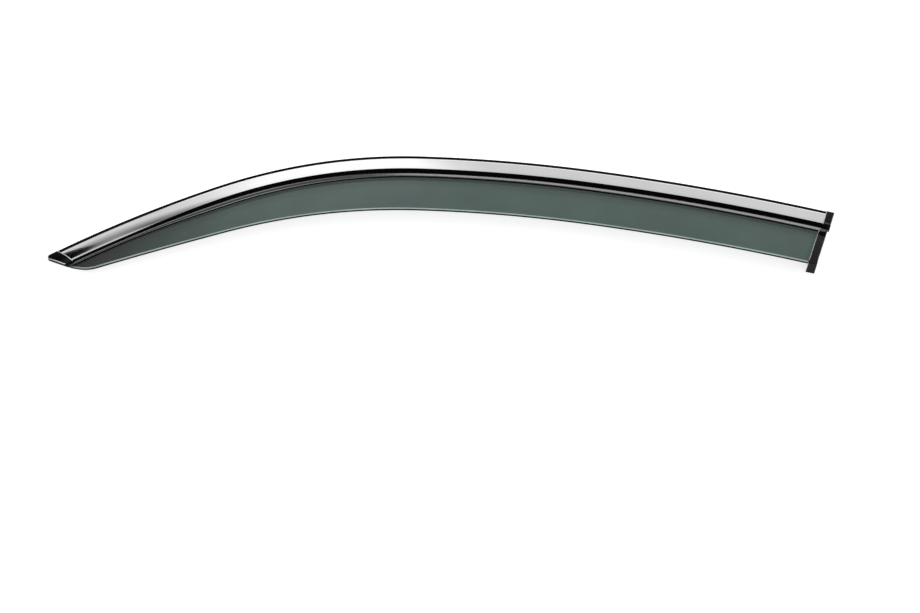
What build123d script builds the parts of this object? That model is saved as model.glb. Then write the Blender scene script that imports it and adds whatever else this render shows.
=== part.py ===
from build123d import *
from math import acos, atan2, cos, degrees, hypot, radians, sin, sqrt, tan
import os

# Roof edge seen from outside: four tangent arcs from the nose to the rear, radius in mm and turn in degrees
NOSE_HEADING = 29.55
NOSE_RUN_R, NOSE_RUN_TURN = 1500.0, 8.8
CROWN_R, CROWN_TURN = 650.0, 22.8
ROOF_R, ROOF_TURN = 1900.0, 6.5
TAIL_R, TAIL_TURN = 3000.0, 5.85
RUN_OUT = 30.0

# Lower edge of the panel: it keeps its distance over the roof, then narrows to the nose
PANEL_N = 90.4
NARROW_R = 800.0
NOSE_TIP_R = 38.0
NOSE_CUT = 40.0
NOSE_CUT_N = 7.6
NOSE_REACH = 51.75

# Section of the shield: n runs from the roof edge to the lower edge, z away from the door
WALL = 2.6
TAPE_T, LINER_T = 0.95, 0.15
SHOULDER_N = 3.0
FOLD_N, FOLD_Z = 21.4, 9.4
SHOULDER_CROWN = 0.9
LIP_FOOT_N = 23.6
LEDGE_END_N = 29.2
PANEL_Z = 31.6
PANEL_R = 400.0
LAND_END_N = 11.0
LAND_RISE_N = 14.0
FLANGE_BEVEL = 0.7
FOLD_R = 0.7
LEDGE_R = 2.0

# Bright strip over the shoulder
STRIP_T = 0.5
STRIP_LIFT = 0.4
STRIP_END_GAP = 0.2

# Foam tape on the flange
TAPE_W = 8.5
TAPE_INSET = 1.0
TAPE_GAP = 3.0
TAPE_END = 9.0

# Nose cap and rear cap
CAP_PROUD = 0.8
CAP_OVER = 0.3
CAP_CROWN = 1.1
CAP_WALL = 2.2
CAP_BEVEL = 0.7
NOSE_BEVEL = 1.0
CAP_TIP_R = 4.0
FIT_GAP = 0.15
PLUG_L = 8.0
NOSE_JOIN_S, NOSE_JOIN_LEAN = 13.5, 26.0
NOSE_JOIN_R = 105.0
END_SLANT = 5.0
BLOCK_L = 10.4
LEG_STEP = 1.5
LEG_W = 11.2
LEG_DRAFT = 3.2
TONGUE_L, TONGUE_T = 5.0, 1.8
TONGUE_INSET = 5.0

FLANGE_BACK = TAPE_T + LINER_T
FLANGE_TOP = FLANGE_BACK + WALL
LEDGE_Z = FLANGE_TOP
CAP_SIDE_N = LIP_FOOT_N + STRIP_T + CAP_PROUD
STEP_N = CAP_SIDE_N + 1.2

# Reach of the cutting shapes, each past the part
HIGH, LOW, UNDER = 60.0, -20.0, -12.0
CLEAR = 20.0
AWAY = 80.0
FAR = 400.0


def heading_vector(heading):
    return Vector(cos(radians(heading)), sin(radians(heading)))


def lower_side(heading):
    """Unit vector from the roof edge towards the lower edge."""
    return Vector(sin(radians(heading)), -cos(radians(heading)))


def lay_path():
    """Centre, radius, first heading and turn of each arc, with a run-out added at both ends."""
    arcs = [(NOSE_RUN_R, NOSE_RUN_TURN), (CROWN_R, CROWN_TURN), (ROOF_R, ROOF_TURN), (TAIL_R, TAIL_TURN)]
    spot = Vector(0, 0)
    heading = NOSE_HEADING
    legs = []
    for radius, turn in arcs:
        centre = spot + lower_side(heading) * radius
        legs.append([centre, radius, heading, turn])
        heading -= turn
        spot = centre - lower_side(heading) * radius
    lead = degrees(RUN_OUT / NOSE_RUN_R)
    legs[0][2] += lead
    legs[0][3] += lead
    legs[-1][3] += degrees(RUN_OUT / TAIL_R)
    return legs, spot, heading


LEGS, PATH_END, END_HEADING = lay_path()


def sweep_leg(section, leg, skip_start=0.0, skip_end=0.0):
    """Carry a section along one arc of the path, less a length at its start and at its end."""
    centre, radius, heading, turn = leg
    first = heading - degrees(skip_start / radius)
    across = lower_side(first)
    plane = Plane(origin=centre - across * radius, x_dir=across, z_dir=across.cross(Vector(0, 0, 1)))
    sweep = turn - degrees((skip_start + skip_end) / radius)
    return revolve(plane * section, Axis(centre, (0, 0, -1)), sweep)


def sweep_path(section):
    """Carry a section along the whole path."""
    body = Part()
    for leg in LEGS:
        body += sweep_leg(section, leg)
    return body


def nose_point(s, n):
    """Plan point s along the nose run and n towards the lower edge."""
    heading = NOSE_HEADING - degrees(s / NOSE_RUN_R)
    centre = LEGS[0][0]
    return centre - lower_side(heading) * (NOSE_RUN_R - n)


def end_line(offset, n):
    """Plan point on a slanted line across the rear end, offset along the path from its end."""
    along = offset - n * tan(radians(END_SLANT))
    return PATH_END + heading_vector(END_HEADING) * along + lower_side(END_HEADING) * n


def prism(face):
    """Upright cutting shape over a plan face."""
    return extrude(Pos(0, 0, LOW) * face, HIGH - LOW)


def panel_centre():
    """Centre of the panel's outer arc in the section."""
    run, rise = PANEL_N - LEDGE_END_N, PANEL_Z - LEDGE_Z
    chord = hypot(run, rise)
    drop = sqrt(PANEL_R ** 2 - chord ** 2 / 4)
    mid_n, mid_z = (PANEL_N + LEDGE_END_N) / 2, (PANEL_Z + LEDGE_Z) / 2
    return mid_n + drop * rise / chord, mid_z - drop * run / chord


PANEL_CN, PANEL_CZ = panel_centre()


def panel_z(n, depth=0.0):
    """Height of the panel at n, depth below its outer face."""
    return PANEL_CZ + sqrt((PANEL_R - depth) ** 2 - (n - PANEL_CN) ** 2)


def panel_arc(n0, n1, depth=0.0):
    mid = (n0 + n1) / 2
    return ThreePointArc((n0, panel_z(n0, depth)), (mid, panel_z(mid, depth)), (n1, panel_z(n1, depth)))


def bowed(start, end, rise):
    """Arc from start to end that rises above its chord."""
    dn, dz = end[0] - start[0], end[1] - start[1]
    chord = hypot(dn, dz)
    mid = ((start[0] + end[0]) / 2 - rise * dz / chord, (start[1] + end[1]) / 2 + rise * dn / chord)
    return ThreePointArc(start, mid, end)


# Section of the shield
fold = (FOLD_N, FOLD_Z)
lip_lean = (LIP_FOOT_N - FOLD_N) / (FOLD_Z - LEDGE_Z)
lip_under = (LIP_FOOT_N + lip_lean * (LEDGE_Z - UNDER), UNDER)
shoulder = make_face(
    Line((SHOULDER_N, UNDER), (SHOULDER_N, FLANGE_TOP))
    + bowed((SHOULDER_N, FLANGE_TOP), fold, SHOULDER_CROWN)
    + Line(fold, lip_under)
    + Line(lip_under, (SHOULDER_N, UNDER))
)
shoulder = fillet(shoulder.vertices().sort_by_distance((FOLD_N, FOLD_Z, 0))[0], FOLD_R)
flange = Pos(0, FLANGE_BACK) * Rectangle(SHOULDER_N + WALL, WALL, align=Align.MIN)
flange = chamfer(flange.vertices().sort_by_distance((0, FLANGE_TOP, 0))[0], FLANGE_BEVEL)
end_n = PANEL_N + WALL
foot_n = PANEL_CN - sqrt((PANEL_R - WALL) ** 2 - (FLANGE_BACK - PANEL_CZ) ** 2)
visor = make_face(
    Line((FOLD_N, FLANGE_BACK), (FOLD_N, LEDGE_Z))
    + Line((FOLD_N, LEDGE_Z), (LEDGE_END_N, LEDGE_Z))
    + panel_arc(LEDGE_END_N, end_n)
    + Line((end_n, panel_z(end_n)), (end_n, panel_z(end_n, WALL)))
    + panel_arc(foot_n, end_n, WALL)
    + Line((foot_n, FLANGE_BACK), (FOLD_N, FLANGE_BACK))
)
visor = fillet(visor.vertices().sort_by_distance((LEDGE_END_N, LEDGE_Z, 0))[0], LEDGE_R)
above_back = Pos(0, FLANGE_BACK) * Rectangle(PANEL_N, HIGH, align=Align.MIN)
past_land = Polygon(
    (LAND_END_N, UNDER), (LAND_END_N, FLANGE_BACK), (LAND_RISE_N, FOLD_Z),
    (PANEL_N, FOLD_Z), (PANEL_N, UNDER),
    align=None,
)
hollow = offset(shoulder, -WALL) & past_land
shield_section = flange + (shoulder & above_back) + visor - hollow
strip_zone = Pos(SHOULDER_N, FLANGE_TOP) * Rectangle(PANEL_N, HIGH, align=Align.MIN)
strip_zone -= Pos(FOLD_N, LEDGE_Z) * Rectangle(PANEL_N, STRIP_LIFT, align=Align.MIN)
strip_section = (offset(shoulder, STRIP_T) - shoulder) & strip_zone
plug_section = offset(hollow & above_back, -FIT_GAP)

# Plan outline of the shield and the nose cap
roof_centre, _, roof_heading, _ = LEGS[2]
tail_centre, _, tail_heading, tail_turn = LEGS[3]
lower_tail = CenterArc(tail_centre, TAIL_R - PANEL_N, tail_heading + 90 - tail_turn, tail_turn)
lower_roof = CenterArc(roof_centre, ROOF_R - PANEL_N, roof_heading + 90 - ROOF_TURN, ROOF_TURN)
front_start = nose_point(0, NOSE_CUT_N)
front_way = heading_vector(NOSE_HEADING - 90 + NOSE_CUT)
nose_tip = front_start + front_way * NOSE_REACH
front_far = front_start - front_way * CLEAR
narrow_centre = roof_centre + lower_side(roof_heading) * (NARROW_R - ROOF_R + PANEL_N)
tip_sight = nose_tip - narrow_centre
tip_angle = degrees(atan2(tip_sight.Y, tip_sight.X)) - degrees(acos(NARROW_R / tip_sight.length))
narrow = CenterArc(narrow_centre, NARROW_R, roof_heading + 90, tip_angle - roof_heading - 90)
narrow_end = narrow @ 1
rear_far = lower_tail @ 0
outline = make_face(
    lower_tail
    + lower_roof
    + narrow
    + Polyline(narrow_end, nose_tip, front_far, (front_far.X, FAR), (rear_far.X, FAR), rear_far)
)
outline = fillet(outline.vertices().sort_by_distance(nose_tip)[0], NOSE_TIP_R)

# Plan regions of the two ends
join_way = heading_vector(NOSE_HEADING - 90 + NOSE_JOIN_LEAN)
join_back = heading_vector(NOSE_HEADING + NOSE_JOIN_LEAN)
join_mid = nose_point(NOSE_JOIN_S, 0) + join_way * CAP_SIDE_N / 2
join_half = CAP_SIDE_N + CLEAR
join_dip = join_back * (NOSE_JOIN_R - sqrt(NOSE_JOIN_R ** 2 - join_half ** 2))
join_ends = [join_mid - join_way * join_half - join_dip, join_mid + join_way * join_half - join_dip]
ahead = join_back * -AWAY
ahead_of_join = make_face(
    ThreePointArc(join_ends[0], join_mid, join_ends[1])
    + Polyline(join_ends[1], join_ends[1] + ahead, join_ends[0] + ahead, join_ends[0])
)


def rear_region(block, leg, far_block, far_leg):
    """Plan region across the rear end: two offsets on its near side, two on its far side."""
    over_n, past_n = -CLEAR, PANEL_N + CLEAR
    return make_face(Polyline(
        end_line(block, over_n), end_line(block, STEP_N), end_line(leg, STEP_N), end_line(leg, past_n),
        end_line(far_leg, past_n), end_line(far_leg, STEP_N), end_line(far_block, STEP_N),
        end_line(far_block, over_n), end_line(block, over_n),
    ))


leg_near = -LEG_STEP - LEG_W
behind_end = rear_region(-BLOCK_L, leg_near, AWAY, AWAY - LEG_STEP)
cap_plan = rear_region(-BLOCK_L, leg_near, 0, -LEG_STEP)

# Shield
cap_room = Pos(-CLEAR, UNDER) * Rectangle(CAP_SIDE_N + CLEAR, HIGH, align=Align.MIN)
shield = sweep_path(shield_section) & prism(outline - behind_end)
shield -= sweep_leg(cap_room, LEGS[0]) & prism(ahead_of_join)

# Bright strip
strip = sweep_path(strip_section)
strip -= prism(Pos(join_back * STRIP_END_GAP) * ahead_of_join)
strip -= prism(rear_region(-BLOCK_L - STRIP_END_GAP, leg_near, AWAY, AWAY - LEG_STEP))

# Sections of the caps
cap_start = (-CAP_OVER, FLANGE_TOP + STRIP_T + CAP_PROUD)
cap_fold = (FOLD_N + STRIP_T, FOLD_Z + STRIP_T + CAP_PROUD)
block_section = make_face(
    Line((-CAP_OVER, UNDER), cap_start)
    + bowed(cap_start, cap_fold, CAP_CROWN)
    + Polyline(cap_fold, (CAP_SIDE_N, LEDGE_Z), (CAP_SIDE_N, UNDER), (-CAP_OVER, UNDER))
)
leg_slope = LEG_DRAFT / PANEL_Z
leg_under_n = PANEL_N - leg_slope * (PANEL_Z - UNDER)
leg_section = make_face(
    Polyline((LEDGE_END_N, UNDER), (FOLD_N, UNDER), (FOLD_N, LEDGE_Z), (LEDGE_END_N, LEDGE_Z))
    + panel_arc(LEDGE_END_N, PANEL_N)
    + Polyline((PANEL_N, PANEL_Z), (leg_under_n, UNDER), (LEDGE_END_N, UNDER))
)
leg_section = fillet(leg_section.vertices().sort_by_distance((LEDGE_END_N, LEDGE_Z, 0))[0], LEDGE_R)
above_rest = Pos(-CLEAR, 0) * Rectangle(PANEL_N + 2 * CLEAR, HIGH, align=Align.MIN)


def is_high(edge):
    """True for an edge of a cap that stands above the ledge."""
    return (edge @ 0.5).Z > LEDGE_Z + 0.5


# Nose cap: block section between the nose cut and the join, hollow from below, with a plug into the shoulder
nose_plan = ahead_of_join & outline
nose_cap = sweep_leg(block_section & above_rest, LEGS[0]) & prism(nose_plan)
tip_edge = nose_cap.edges().filter_by(Axis.Z).sort_by(Axis.X)[0]
nose_cap = fillet(tip_edge, CAP_TIP_R)
nose_cap = chamfer(nose_cap.edges().filter_by(is_high), NOSE_BEVEL)
nose_cap -= sweep_leg(offset(block_section, -CAP_WALL), LEGS[0]) & prism(offset(nose_plan, -CAP_WALL))
nose_plug = Pos(join_back * PLUG_L) * ahead_of_join - Pos(join_back * -CAP_WALL) * ahead_of_join
nose_cap += sweep_leg(plug_section, LEGS[0]) & prism(nose_plan + nose_plug) & prism(nose_plug)

# Rear cap: block over the strip's end, leg across the panel's end, plug and tongue that hold it in the shield
rear_cap = sweep_leg((block_section + leg_section) & above_rest, LEGS[3]) & prism(cap_plan)
rear_cap = chamfer(rear_cap.edges().filter_by(is_high), CAP_BEVEL)
rear_room = offset(block_section, -CAP_WALL) + offset(leg_section, -CAP_WALL)
rear_cap -= sweep_leg(rear_room, LEGS[3]) & prism(offset(cap_plan, -CAP_WALL))
rear_plug = rear_region(-BLOCK_L - PLUG_L, leg_near, -BLOCK_L + CAP_WALL, leg_near + CAP_WALL)
rear_cap += sweep_leg(plug_section, LEGS[3]) & prism(rear_plug)
tongue_ns = (LEDGE_END_N + TONGUE_INSET, PANEL_N - TONGUE_INSET)
tongue_low = WALL + TONGUE_T
tongue_section = make_face(
    panel_arc(*tongue_ns, WALL)
    + Line((tongue_ns[1], panel_z(tongue_ns[1], WALL)), (tongue_ns[1], panel_z(tongue_ns[1], tongue_low)))
    + panel_arc(*tongue_ns, tongue_low)
    + Line((tongue_ns[0], panel_z(tongue_ns[0], tongue_low)), (tongue_ns[0], panel_z(tongue_ns[0], WALL)))
)
tongue_plan = rear_region(-BLOCK_L, leg_near - TONGUE_L, -BLOCK_L + CAP_WALL, leg_near + CAP_WALL)
rear_cap += sweep_leg(tongue_section, LEGS[3]) & prism(tongue_plan)

# Foam tape and its peel-off film, in three lengths on the flange
tape_section = Pos(TAPE_INSET, LINER_T) * Rectangle(TAPE_W, TAPE_T, align=Align.MIN)
liner_section = Pos(TAPE_INSET, 0) * Rectangle(TAPE_W, LINER_T, align=Align.MIN)
nose_skip = RUN_OUT + NOSE_JOIN_S + TAPE_END
tail_skip = RUN_OUT + BLOCK_L + TAPE_END


def lay_tape(section):
    """Front, middle and rear length of a tape or film section."""
    front = sweep_leg(section, LEGS[0], nose_skip, TAPE_GAP / 2)
    middle = sweep_leg(section, LEGS[1], TAPE_GAP / 2, TAPE_GAP / 2)
    rear = sweep_leg(section, LEGS[2], TAPE_GAP / 2) + sweep_leg(section, LEGS[3], 0, tail_skip)
    return front, middle, rear


tapes = lay_tape(tape_section)
liners = lay_tape(liner_section)

# Set out about the middle of the footprint and write each piece
pieces = {
    "shield": shield,
    "trim_strip": strip,
    "nose_cap": nose_cap,
    "rear_cap": rear_cap,
    "tape_front": tapes[0],
    "tape_middle": tapes[1],
    "tape_rear": tapes[2],
    "liner_front": liners[0],
    "liner_middle": liners[1],
    "liner_rear": liners[2],
}
box = Compound(list(pieces.values())).bounding_box()
middle = box.center()
os.makedirs("parts", exist_ok=True)
for name, piece in pieces.items():
    export_step(Pos(-middle.X, -middle.Y, -box.min.Z) * piece, f"parts/{name}.step")
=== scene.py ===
"""Window rain deflector: smoked shield, bright trim strip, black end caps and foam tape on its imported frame."""

from math import acos, asin, atan2, cos, hypot, pi, sin, sqrt, tan

import bmesh
import bpy
import numpy as np
from bpy.props import FloatProperty, FloatVectorProperty, PointerProperty
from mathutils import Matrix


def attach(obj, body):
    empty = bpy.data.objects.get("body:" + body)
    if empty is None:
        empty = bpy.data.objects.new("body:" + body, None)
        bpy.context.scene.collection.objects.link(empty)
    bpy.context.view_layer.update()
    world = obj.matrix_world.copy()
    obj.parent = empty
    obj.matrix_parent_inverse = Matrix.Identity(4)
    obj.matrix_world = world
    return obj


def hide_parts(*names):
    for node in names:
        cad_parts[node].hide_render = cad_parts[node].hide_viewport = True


bl_info = {
    "name": "Window rain deflector",
    "version": (1, 0, 0),
    "blender": (4, 5, 0),
    "location": "View3D > Sidebar > Deflector",
    "description": "Builds a smoked window deflector with its trim strip, end caps and tape",
    "category": "Object",
}

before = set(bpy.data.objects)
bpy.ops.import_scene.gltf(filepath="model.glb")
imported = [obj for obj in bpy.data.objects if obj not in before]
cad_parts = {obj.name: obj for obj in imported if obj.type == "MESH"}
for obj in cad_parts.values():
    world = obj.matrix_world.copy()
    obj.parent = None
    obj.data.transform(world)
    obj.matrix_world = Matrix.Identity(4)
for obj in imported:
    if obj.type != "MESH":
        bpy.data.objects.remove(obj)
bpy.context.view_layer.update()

MM = 0.001
DEG = pi / 180
BODY = "root"


def setting(size=1.0, kind=FloatProperty, **look):
    """A maker of properties that takes each default in units of the given size."""

    def make(name, description, value):
        default = [part * size for part in value] if kind is FloatVectorProperty else value * size
        return kind(name=name, description=description, default=default, **look)

    return make


length = setting(MM, unit="LENGTH", subtype="DISTANCE")
position = setting(MM, FloatVectorProperty, unit="LENGTH", subtype="TRANSLATION")
angle = setting(DEG, unit="ROTATION", subtype="ANGLE")
colour = setting(1.0, FloatVectorProperty, subtype="COLOR", min=0.0, max=1.0)
factor = setting(subtype="FACTOR", min=0.0, max=1.0)
number = setting(subtype="NONE")


class RoofEdgeSettings(bpy.types.PropertyGroup):
    """Line of the door's roof edge, which every long piece follows."""

    start: position("Start", "Plan point of the roof edge at the nose", (-488.032, -56.866, 0.0))
    heading: angle("Heading", "Heading of the roof edge at the nose", 29.55)
    nose_radius: length("Nose radius", "Radius of the run behind the nose", 1500)
    nose_turn: angle("Nose turn", "Turn of the run behind the nose", 8.8)
    crown_radius: length("Crown radius", "Radius of the crown", 650)
    crown_turn: angle("Crown turn", "Turn of the crown", 22.8)
    roof_radius: length("Roof radius", "Radius over the roof", 1900)
    roof_turn: angle("Roof turn", "Turn over the roof", 6.5)
    tail_radius: length("Tail radius", "Radius towards the rear", 3000)
    tail_turn: angle("Tail turn", "Turn towards the rear", 5.85)
    end_slant: angle("End slant", "Slant of the rear end from square", 5)
    join_along: length("Join place", "Where the nose cap meets the strip", 13.5)
    join_lean: angle("Join lean", "Lean of the nose cap's join from square", 26)
    join_radius: length("Join radius", "Radius of the nose cap's join", 105)


class ShieldSettings(bpy.types.PropertyGroup):
    """Section, outline and finish of the smoked shield."""

    wall: length("Wall", "Wall of the moulding", 2.6)
    back: length("Back", "Height of the flange's back above the door", 1.1)
    shoulder: length("Shoulder", "Distance of the shoulder from the roof edge", 3.0)
    fold_across: length("Fold across", "Distance of the fold from the roof edge", 21.4)
    fold_height: length("Fold height", "Height of the fold", 9.4)
    crown: length("Shoulder crown", "Rise of the shoulder above its chord", 0.9)
    lip_foot: length("Lip foot", "Distance of the lip's foot from the roof edge", 23.6)
    ledge_end: length("Ledge end", "Where the ledge turns up into the panel", 29.2)
    ledge_radius: length("Ledge radius", "Radius between ledge and panel", 2.0)
    depth: length("Depth", "Distance of the lower edge from the roof edge", 90.4)
    rim_height: length("Rim height", "Height of the lower edge", 31.6)
    panel_radius: length("Panel radius", "Radius of the panel's bow", 400)
    narrow_radius: length("Narrowing radius", "Radius of the lower edge where it narrows", 800)
    tip_radius: length("Tip radius", "Radius of the nose tip", 38)
    nose_cut: angle("Nose cut", "Slant of the nose's front line", 40)
    nose_cut_across: length("Nose cut across", "Where the front line starts", 7.6)
    nose_reach: length("Nose reach", "Length of the front line to the tip's corner", 51.75)
    taper_start: length("Taper start", "Where the section starts to change towards the nose", 235)
    taper_run: length("Taper run", "Length over which the section changes", 150)
    taper_drop: factor("Taper drop", "Share of the shoulder's height that is lost at the nose", 0.4)
    taper_fold: length("Taper fold", "How far the fold moves towards the panel at the nose", 1.2)
    taper_ledge: length("Taper ledge", "How much narrower the ledge is at the nose", 2.4)
    rim_round: length("Rim round", "Rounding of the lower edge", 0.6)
    rim_band: length("Rim band", "Distance of the pale line from the lower edge", 0.9)
    spacing: length("Spacing", "Distance between stations", 5.0)
    tint: colour("Tint", "Colour of the smoked acrylic", (0.069, 0.108, 0.096))
    body: factor("Body", "How much of the light one face holds back", 0.86)
    dark_tint: colour("Dark tint", "Colour of flange, shoulder and ledge", (0.003, 0.003, 0.003))
    # Painted shade: the acrylic is darker towards the nose and darker and greyer beside the ledge, where the floor
    # below it lies in shade.
    nose_tint: colour("Nose tint", "Deeper colour of the acrylic towards the nose", (0.001, 0.003, 0.002))
    top_tint: colour("Top tint", "Greyer colour of the acrylic beside the ledge", (0.042, 0.06, 0.055))
    # Painted highlight: the two light lines along the ledge.
    sheen_tint: colour("Sheen tint", "Colour of the two light lines along the ledge", (0.3, 0.31, 0.31))
    # Painted highlight: the pale line along the lower rim.
    rim_tint: colour("Rim tint", "Colour of the pale line along the lower rim", (0.33, 0.41, 0.385))


class StripSettings(bpy.types.PropertyGroup):
    """Bright strip over the shoulder."""

    sheet: length("Sheet", "Thickness of the strip", 0.5)
    start: length("Start", "Distance of the strip's upper edge from the roof edge", 4.4)
    roll: length("Roll", "Width of the rolled upper edge", 1.7)
    roll_drop: length("Roll drop", "How far the upper edge rolls down", 0.3)
    lift: length("Lift", "Distance of the folded lip from the ledge", 0.4)
    end_gap: length("End gap", "Gap between the strip and the caps", 0.2)
    spacing: length("Spacing", "Distance between stations", 4.0)
    metal: colour("Metal", "Colour of the bright metal", (0.86, 0.86, 0.87))
    lip_tint: colour("Lip tint", "Colour of the folded lip's face", (0.003, 0.003, 0.003))


class CapSettings(bpy.types.PropertyGroup):
    """Nose cap and rear cap."""

    side: length("Side", "Distance of the block's side from the roof edge", 24.9)
    block: length("Block", "Length of the rear block", 10.4)
    leg: length("Leg", "Distance of the leg's near side from the rear end", 12.7)
    step: length("Step", "Where the rear block steps to the leg", 26.1)
    smooth: angle("Smooth", "Bevels up to this angle are shaded round", 50)
    plastic: colour("Plastic", "Colour of the black plastic", (0.004, 0.004, 0.0045))
    # Painted highlight: the bevels of the black caps are given a pale colour.
    bevel: colour("Bevel", "Colour of the polished bevels", (0.8, 0.8, 0.81))


class TapeSettings(bpy.types.PropertyGroup):
    """Foam tape and its peel-off film."""

    inset: length("Inset", "Distance of the tape from the roof edge", 1.0)
    width: length("Width", "Width of the tape", 8.5)
    gap: length("Gap", "Gap between two lengths", 3.0)
    end: length("End", "Distance of the tape from the caps", 9.0)
    film: length("Film", "Thickness of the film", 0.15)
    spacing: length("Spacing", "Distance between stations", 8.0)
    foam: colour("Foam", "Colour of the foam", (0.022, 0.022, 0.024))
    film_tint: colour("Film tint", "Colour of the film", (0.42, 0.025, 0.022))


class StageSettings(bpy.types.PropertyGroup):
    """Floor, lights and camera."""

    aim: position("Aim", "Point on the floor at the middle of the picture", (21.15, -124.82, 0.0))
    elevation: angle("Elevation", "Height of the camera above the floor", 65)
    distance: length("Distance", "Distance of the camera from its aim", 2856.7)
    lens: number("Lens", "Focal length in millimetres", 91.25)
    key_power: number("Key power", "Power of the overhead softbox in watts", 17.0)
    back_level: number("Back level", "Brightness of the wall behind", 0.72)
    floor: colour("Floor", "Colour of the floor", (0.86, 0.86, 0.86))


# Plan and section geometry


def across(heading):
    """Unit plan vector from the roof edge towards the lower edge."""
    return np.array([sin(heading), -cos(heading)])


def along(heading):
    return np.array([cos(heading), sin(heading)])


ARCS = ("Nose", "Crown", "Roof", "Tail")


class RoofEdge:
    """Four tangent arcs in plan, measured along from the nose and across towards the lower edge."""

    def __init__(self, settings):
        self.legs = []
        spot = np.array(settings.start[:2])
        heading = settings.heading
        place = 0.0
        for name in ARCS:
            radius = getattr(settings, name.lower() + "_radius")
            turn = getattr(settings, name.lower() + "_turn")
            centre = spot + across(heading) * radius
            self.legs.append((place, centre, radius, heading, turn))
            heading -= turn
            place += radius * turn
            spot = centre - across(heading) * radius
        self.length = place
        self.settings = settings

    def point(self, s, n):
        """Plan point at a distance along and across."""
        for place, centre, radius, heading, turn in self.legs:
            if s <= place + radius * turn:
                break
        return centre - across(heading - (s - place) / radius) * (radius - n)

    def measure(self, spot):
        """Distance along and across of a plan point."""
        for place, centre, radius, heading, turn in self.legs:
            sight = spot - centre
            here = atan2(sight[1], sight[0]) - pi / 2
            if here >= heading - turn:
                break
        return place + (heading - here) * radius, radius - hypot(*sight)

    def join(self, n):
        """Where the nose cap's join crosses a distance across."""
        lean, radius = self.settings.join_lean, self.settings.join_radius
        middle = bpy.context.scene.deflector_cap.side / 2
        bow = sin(lean) / (2 * radius)
        slope = cos(lean) - 2 * middle * bow
        w = (sqrt(slope * slope - 4 * bow * (middle * middle * bow - n)) - slope) / (2 * bow)
        return self.settings.join_along + w * sin(lean) - cos(lean) * (w - middle) ** 2 / (2 * radius)

    def rear(self, offset, n):
        """Where a slanted line across the rear end crosses a distance across."""
        radius = self.legs[-1][2]
        run = offset + n * tan(self.settings.end_slant)
        return self.length - run * radius / (radius - n)


def bowed(start, end, rise, count):
    """Points of an arc from start to end that rises above its chord."""
    start, end = np.array(start), np.array(end)
    chord = end - start
    span = hypot(*chord)
    radius = (span * span / 4 + rise * rise) / (2 * rise)
    normal = np.array([-chord[1], chord[0]]) / span
    centre = (start + end) / 2 - normal * (radius - rise)
    half = asin(span / 2 / radius)
    turns = np.linspace(half, -half, count)
    tangent = chord / span
    return [centre + radius * (normal * cos(t) - tangent * sin(t)) for t in turns]


def rounded(before, corner, after, reach, count):
    """Points that round a corner, starting and ending a reach away from it."""
    before, corner, after = (np.array(p, float) for p in (before, corner, after))
    first = corner + (before - corner) * reach / np.linalg.norm(before - corner)
    last = corner + (after - corner) * reach / np.linalg.norm(after - corner)
    steps = np.linspace(0, 1, count)
    return [(1 - t) ** 2 * first + 2 * t * (1 - t) * corner + t * t * last for t in steps]


def spread(start, end, count):
    """Points on a straight line, both ends among them."""
    return [np.array(start) + (np.array(end) - np.array(start)) * t for t in np.linspace(0, 1, count)]


BEND_SOFTNESS = 0.25


class ShieldSection:
    """Heights of the shield's outer and inner face by distance across."""

    def __init__(self, s):
        self.s = s
        self.ledge = s.back + s.wall
        run, rise = s.depth - s.ledge_end, s.rim_height - self.ledge
        chord = hypot(run, rise)
        drop = sqrt(s.panel_radius ** 2 - chord ** 2 / 4)
        self.centre_n = (s.depth + s.ledge_end) / 2 + drop * rise / chord
        self.centre_z = (s.rim_height + self.ledge) / 2 - drop * run / chord
        self.foot = self.centre_n - sqrt((s.panel_radius - s.wall) ** 2 - (s.back - self.centre_z) ** 2)

    def panel(self, n, under=0.0):
        """Height of the panel, under its outer face."""
        return self.centre_z + sqrt((self.s.panel_radius - under) ** 2 - (n - self.centre_n) ** 2)

    def outer(self, n):
        """Height of ledge and panel, with the bend between them rounded."""
        low, high = self.ledge, self.panel(n)
        soft = self.s.ledge_radius * BEND_SOFTNESS
        return (low + high + sqrt((high - low) ** 2 + soft * soft)) / 2

    def inner(self, n):
        return max(self.s.back, self.panel(n, self.s.wall))


SHOULDER_STEPS = 14
FOLD_STEPS = 5
FOLD_REACH = 0.3 * MM
FOLD_GUARD = 0.4 * MM


def shoulder_outer(s, sheet=0.0):
    """Outer path over the shoulder to the foot of the lip, with a sheet's thickness laid on it."""
    ledge = s.back + s.wall
    start, fold, foot = (s.shoulder, ledge), (s.fold_across, s.fold_height), (s.lip_foot, ledge)
    top = bowed(start, fold, s.crown, SHOULDER_STEPS)
    lip = np.array(foot) - np.array(fold)
    into = top[-1] - top[-2]
    guards = [top[-1] - into * FOLD_GUARD / hypot(*into), top[-1] + lip * FOLD_GUARD / hypot(*lip)]
    bend = rounded(top[-2], fold, foot, FOLD_REACH, FOLD_STEPS)
    path = top[:-1] + guards[:1] + bend + guards[1:] + [np.array(foot)]
    if not sheet:
        return path
    laid = []
    for i, p in enumerate(path):
        way = path[min(i + 1, len(path) - 1)] - path[max(i - 1, 0)]
        if i == len(path) - 1:
            way = lip
        normal = np.array([-way[1], way[0]]) / hypot(*way)
        laid.append(p + normal * sheet)
    return laid


TAPER_ROOM = 4.0 * MM


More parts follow.
